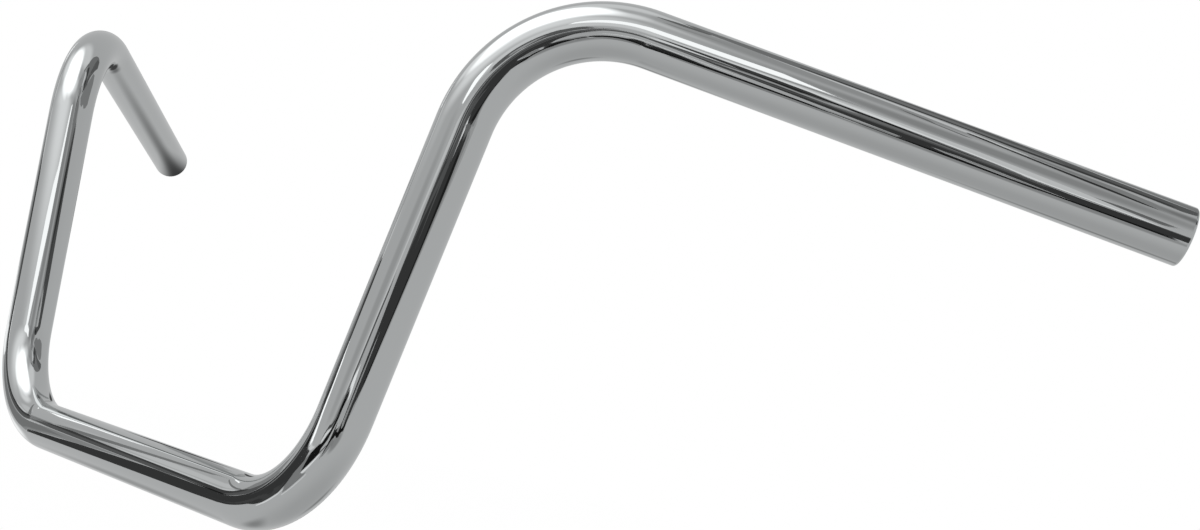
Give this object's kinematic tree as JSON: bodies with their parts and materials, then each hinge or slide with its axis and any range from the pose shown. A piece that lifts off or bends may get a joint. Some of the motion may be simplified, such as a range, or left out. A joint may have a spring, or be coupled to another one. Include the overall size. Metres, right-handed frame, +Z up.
{
  "type": "ape hanger handlebar",
  "caption": "Tall chromed motorcycle handlebar bent from a single steel tube, with a straight clamped run, near-upright sides and swept-back grip runs left open at their ends.",
  "frame": {"origin": "middle of the straight clamped run, on the tube's own centreline", "axes": "+X along the clamped run towards the rider's left grip, +Y back towards the rider, +Z up in the plane of the uprights"},
  "size_m": [0.8782, 0.2139, 0.2614],
  "materials": {
    "chrome": "bright chrome plate over polished steel tube"
  },
  "bodies": {
    "root": {"handlebar": "chrome"}
  },
  "joints": []
}
